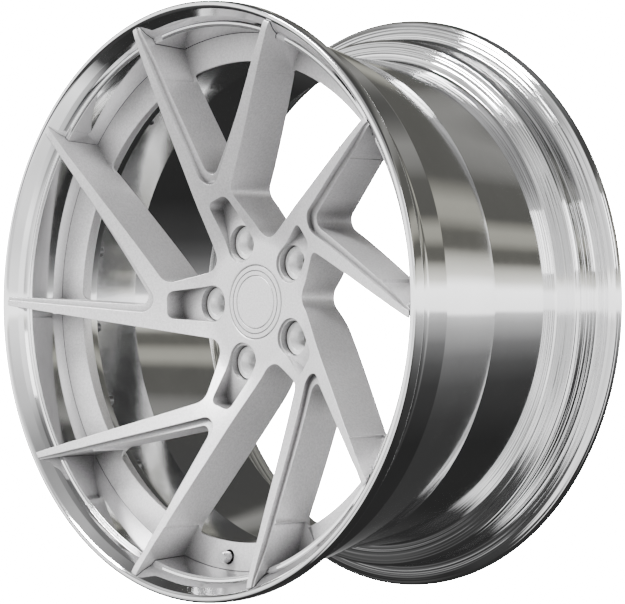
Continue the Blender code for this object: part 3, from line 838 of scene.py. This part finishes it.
# ---- pieces on their bodies --------------------------------------------------------
STANDS_FOR = {
    "barrel_shell": ("rim_barrel", "wheel", "polished_barrel"),
    "forged_centre": ("centre_disc", "wheel", "matte_silver_centre"),
    "cap_shell": ("centre_cap", "cap", "cap_silver"),
    "cap_blank": ("cap_badge_blank", "cap", "badge_silver"),
    "cap_wire": ("cap_spring_ring", "cap", "spring_steel"),
    "stem_tube": ("valve_stem", "wheel", "valve_metal"),
    "stem_nut": ("valve_nut", "wheel", "valve_metal"),
    "stem_grommet": ("valve_seal", "wheel", "seal_rubber"),
    "core_body": ("valve_core", "wheel", "valve_brass"),
    "core_pin_turned": ("valve_core_pin", "core_pin", "valve_brass"),
    "dust_cap_turned": ("valve_cap", "dust_cap", "valve_metal"),
}
for number in range(1, 6):
    STANDS_FOR[f"seat_cone_{number}"] = (f"lug_seat_{number}", "wheel", "seat_steel")
for number in range(1, BOLT_COUNT + 1):
    STANDS_FOR[f"ring_bolt_{number:02d}"] = (
        f"assembly_bolt_{number:02d}", "wheel", "bolt_steel")
for name, (node, body, slot) in STANDS_FOR.items():
    piece = bpy.data.objects[name]
    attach(piece, body)
    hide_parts(node)
for cutter in list(cutters.objects):
    bpy.data.objects.remove(cutter, do_unlink=True)

# ---- studio ------------------------------------------------------------------------
world = bpy.data.worlds.new("studio")
bpy.context.scene.world = world
world.use_nodes = True
nodes = world.node_tree.nodes
links = world.node_tree.links
background = nodes["Background"]
direction = nodes.new("ShaderNodeTexCoord").outputs["Generated"]
split = nodes.new("ShaderNodeSeparateXYZ")
links.new(direction, split.inputs["Vector"])


def ramp(value, stops, low=-1.0, high=1.0):
    """Colour by a direction's height or depth; stops are (value, colour)."""
    ranged = nodes.new("ShaderNodeMapRange")
    ranged.inputs["From Min"].default_value = low
    ranged.inputs["From Max"].default_value = high
    links.new(value, ranged.inputs["Value"])
    made = nodes.new("ShaderNodeValToRGB")
    elements = made.color_ramp.elements
    while len(elements) > 1:
        elements.remove(elements[-1])
    for k, (at, colour) in enumerate(stops):
        place = (at - low) / (high - low)
        element = elements[0] if k == 0 else elements.new(place)
        element.position = place
        element.color = (*colour, 1.0)
    links.new(ranged.outputs["Result"], made.inputs["Fac"])
    return made.outputs["Color"]


def grey(value, warmth=0.0):
    """Neutral or slightly warm light."""
    return (value * (1 + warmth), value * (1 + 0.7 * warmth), value * (1 - 2.0 * warmth))


# What the polished metal sees: behind the wheel a bright strip at eye height with
# warm panels above it and a dark floor; in front a large white screen.
room = ramp(split.outputs["Z"], [
    (-1.00, grey(0.035)), (-0.60, grey(0.028)), (-0.48, grey(0.045)),
    (-0.39, grey(0.055)), (-0.30, grey(0.10)), (-0.20, grey(0.22)),
    (-0.10, grey(0.58)), (-0.05, grey(0.95)), (-0.040, grey(2.6)), (0.065, grey(3.0)),
    (0.110, grey(1.3, 0.03)), (0.165, grey(0.70, 0.04)), (0.205, grey(0.13, 0.04)),
    (0.260, grey(0.13, 0.04)), (0.310, grey(0.42, 0.05)), (0.350, grey(0.45, 0.05)),
    (0.410, grey(0.11, 0.03)), (0.540, grey(0.12, 0.03)), (0.590, grey(0.24, 0.02)),
    (0.640, grey(0.30, 0.02)), (0.690, grey(0.07, 0.02)), (0.850, grey(0.07)),
    (1.00, grey(0.20))])
# The wide screen in front is darker low down; the strip beside it lights the lip.
screen = ramp(split.outputs["Z"], [
    (-1.00, grey(0.06)), (-0.50, grey(0.08)), (-0.30, grey(0.13)), (-0.17, grey(0.40)),
    (-0.08, grey(1.5)), (0.00, grey(1.9)), (0.22, grey(2.0)), (0.27, grey(0.5)),
    (0.33, grey(1.7)), (0.45, grey(0.9)), (0.50, grey(0.22)), (0.60, grey(0.45)),
    (0.68, grey(1.2)), (0.78, grey(0.40)), (1.00, grey(0.6))])
side_strip = ramp(split.outputs["Z"], [
    (-1.00, grey(2.3)), (-0.44, grey(2.2)), (-0.30, grey(1.8)), (0.00, grey(2.0)),
    (0.50, grey(1.3)), (0.70, grey(0.6)), (1.00, grey(0.7))])
beside = ramp(split.outputs["X"], [
    (-1.0, grey(0.0)), (-0.15, grey(0.0)), (0.05, grey(1.0)), (1.0, grey(1.0))])
front_share = ramp(split.outputs["Y"], [
    (-1.0, grey(1.0)), (-0.40, grey(1.0)), (-0.05, grey(0.0)), (1.0, grey(0.0))])
across = ramp(split.outputs["X"], [
    (-1.00, grey(0.9)), (-0.75, grey(1.0)), (-0.62, grey(1.0)), (-0.50, grey(0.50)),
    (-0.30, grey(0.85)), (-0.05, grey(1.0)), (0.20, grey(0.70)), (0.45, grey(0.62)),
    (0.66, grey(0.75)), (0.78, grey(1.1)), (0.92, grey(1.2)), (1.00, grey(0.7))])
front = mix_colours(world.node_tree, "MIX", beside, screen, side_strip)
front = mix_colours(world.node_tree, "MULTIPLY", 1.0, front, front_share)
front = mix_colours(world.node_tree, "MULTIPLY", 1.0, front, across)
links.new(mix_colours(world.node_tree, "LIGHTEN", 1.0, room, front),
          background.inputs["Color"])
background.inputs["Strength"].default_value = 1.0


def emission(name, strength):
    """White glow without any shading."""
    mat = bpy.data.materials.new(name)
    mat.use_nodes = True
    tree = mat.node_tree
    tree.nodes.remove(tree.nodes["Principled BSDF"])
    glow = tree.nodes.new("ShaderNodeEmission")
    glow.inputs["Color"].default_value = (1.0, 1.0, 1.0, 1.0)
    glow.inputs["Strength"].default_value = strength
    tree.links.new(glow.outputs["Emission"], tree.nodes["Material Output"].inputs["Surface"])
    return mat


# Pale floor that curves up into a back wall, square to the camera's view.
FLOOR_Z = -FLANGE_R - 0.0005
FLOOR_REACH = 9.0
FLOOR_NEAR = -5.4
FLOOR_BEND = 3.5          # distance at which the floor starts to curve up
BEND_R = 2.0
WALL_TOP = 7.0
FLOOR_GLOW = 40.0
SIDEWAYS = Vector((0.7095, 0.7047, 0.0))
AWAY = Vector((-0.7047, 0.7095, 0.0))
shape = bmesh.new()
sweep = [(FLOOR_NEAR, 0.0)]
for degrees in range(0, 91, 6):
    angle = math.radians(degrees)
    sweep.append((FLOOR_BEND + BEND_R * math.sin(angle), BEND_R - BEND_R * math.cos(angle)))
sweep.append((FLOOR_BEND + BEND_R, WALL_TOP))
rows = []
for distance, height in sweep:
    middle = AWAY * distance + Vector((0.0, 0.0, FLOOR_Z + height))
    rows.append([shape.verts.new(middle + SIDEWAYS * side)
                 for side in (-FLOOR_REACH, FLOOR_REACH)])
for near, far in zip(rows, rows[1:]):
    shape.faces.new((near[0], near[1], far[1], far[0]))
mesh = bpy.data.meshes.new("floor_sweep")
shape.to_mesh(mesh)
shape.free()
floor = bpy.data.objects.new("floor_sweep", mesh)
bpy.context.scene.collection.objects.link(floor)
mesh.materials.append(emission("floor_white", FLOOR_GLOW))
floor.visible_glossy = False
floor.visible_diffuse = False
floor.visible_shadow = False


def area_light(name, place, target, size, power):
    light = bpy.data.lights.new(name, "AREA")
    light.shape = "RECTANGLE"
    light.size = size[0]
    light.size_y = size[1]
    light.energy = power
    lamp = bpy.data.objects.new(name, light)
    bpy.context.scene.collection.objects.link(lamp)
    lamp.location = place
    aim = Vector(target) - Vector(place)
    lamp.rotation_euler = aim.to_track_quat("-Z", "Y").to_euler()


area_light("key_light", place=(-0.9, -1.9, 2.0), target=(0.0, 0.0, 0.0),
           size=(0.9, 0.8), power=165.0)
area_light("side_light", place=(2.5, -0.5, 1.1), target=(0.0, -0.1, 0.0),
           size=(1.0, 1.2), power=12.0)

# ---- camera --------------------------------------------------------------------------
CAMERA_PLACE = Vector((1.9458, -1.9465, -0.0082))
CAMERA_AIM = Vector((-0.7047, 0.7095, 0.0031))
CAMERA_UP = Vector((0.0, -0.0043, 1.0))
CAMERA_LENS = 176.65
lens = bpy.data.cameras.new("photo_view")
lens.lens = CAMERA_LENS
lens.sensor_width = 36.0
lens.clip_end = 60.0
camera = bpy.data.objects.new("photo_view", lens)
bpy.context.scene.collection.objects.link(camera)
back = -CAMERA_AIM.normalized()
right = CAMERA_UP.cross(back).normalized()
up = back.cross(right)
turn = Matrix((right, up, back)).transposed().to_4x4()
camera.matrix_world = Matrix.Translation(CAMERA_PLACE) @ turn
bpy.context.scene.camera = camera
